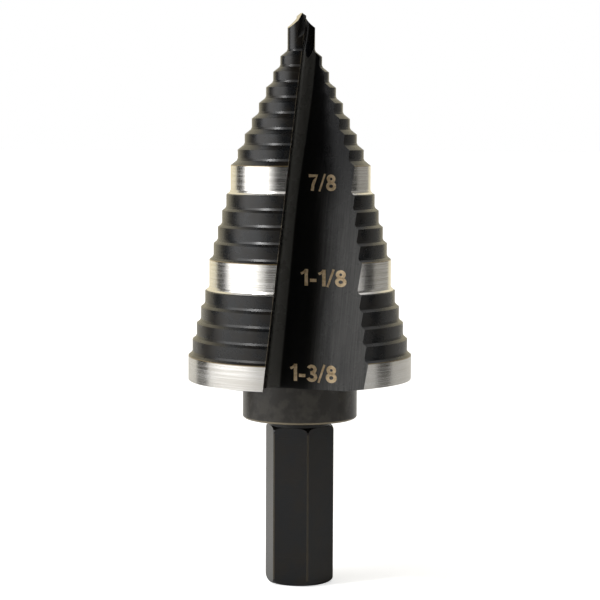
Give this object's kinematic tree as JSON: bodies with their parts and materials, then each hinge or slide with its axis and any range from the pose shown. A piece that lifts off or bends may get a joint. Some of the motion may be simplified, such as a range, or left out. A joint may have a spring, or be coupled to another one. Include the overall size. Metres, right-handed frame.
{
  "type": "step drill",
  "caption": "Stepped cone drill with straight flutes, a split point, a plain collar and a hexagonal shank; its steps cut round holes of growing size in sheet metal.",
  "frame": {"origin": "centre of the flat end face of the shank", "axes": "+Z along the drill's axis towards its point; one flute opens towards -Y and the other towards +Y"},
  "size_m": [0.0338, 0.0334, 0.0863],
  "materials": {
    "black_oxide_steel": "black oxide over ground tool steel, with the marked steps ground bright",
    "size_marks": "matte laser mark, a light tan on the dark steel"
  },
  "bodies": {
    "root": {"step_drill": "black_oxide_steel"}
  },
  "joints": []
}
